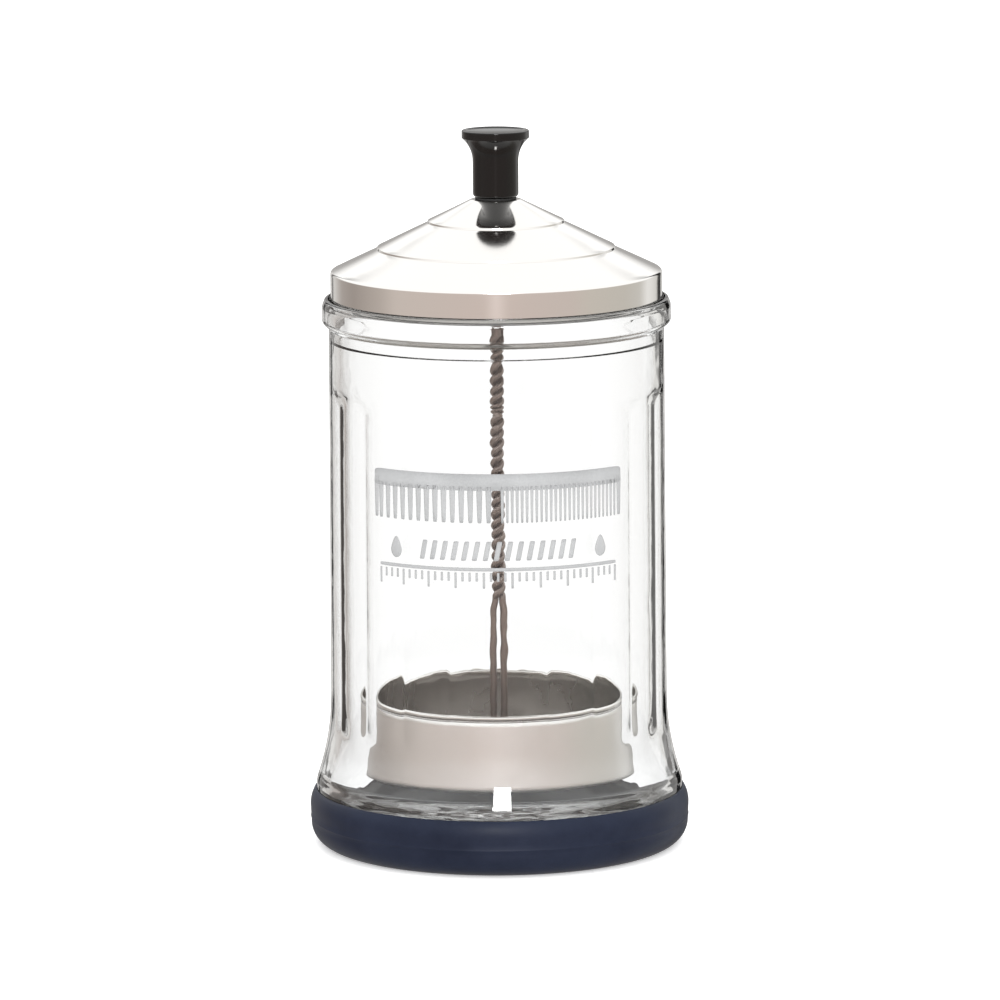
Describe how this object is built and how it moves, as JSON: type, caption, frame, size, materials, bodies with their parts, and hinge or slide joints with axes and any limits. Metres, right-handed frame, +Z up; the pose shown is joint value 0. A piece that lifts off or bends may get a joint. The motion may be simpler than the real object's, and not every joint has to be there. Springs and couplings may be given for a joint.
{
  "type": "disinfectant jar",
  "caption": "Fluted glass jar in a rubber boot, with a conical metal lid whose knob lifts a wire stem and a shallow perforated basket out of the liquid.",
  "frame": {"origin": "centre of the circular face that the rubber boot stands on", "axes": "+Z up along the jar's axis; -Y towards the printed front; the stem's two legs part along X"},
  "size_m": [0.111, 0.111, 0.21],
  "materials": {
    "glass": "clear pressed soda-lime glass",
    "boot_rubber": "satin moulded navy rubber",
    "lid_steel": "mirror-polished spun stainless steel",
    "knob_phenolic": "gloss black moulded phenolic",
    "insert_brass": "turned brass",
    "washer_fibre": "black fibre",
    "fastener_steel": "bright stainless steel",
    "wire_steel": "drawn stainless wire",
    "basket_steel": "satin stainless sheet"
  },
  "bodies": {
    "jar": {"glass_jar": "glass", "rubber_boot": "boot_rubber"},
    "lid": {"lid_shell": "lid_steel"},
    "knob_and_bolt": {"knob": "knob_phenolic", "knob_insert": "insert_brass", "knob_washer": "washer_fibre", "eye_bolt": "fastener_steel", "thrust_washer": "fastener_steel", "lock_nut": "fastener_steel"},
    "lifter": {"lifter_wire": "wire_steel", "basket_band": "basket_steel", "basket_tray": "basket_steel"}
  },
  "joints": [
    {"name": "lid_lift", "type": "slide", "parent": "jar", "child": "lid", "axis": [0, 0, 1], "range_m": [0, 0.16]},
    {"name": "knob_turn", "type": "hinge", "parent": "lid", "child": "knob_and_bolt", "pos_m": [0, 0, 0.19], "axis": [0, 0, 1], "continuous": true},
    {"name": "basket_swing", "type": "hinge", "parent": "knob_and_bolt", "child": "lifter", "pos_m": [0, 0, 0.17586], "axis": [1, 0, 0], "range_deg": [-2.5, 2.5]}
  ]
}
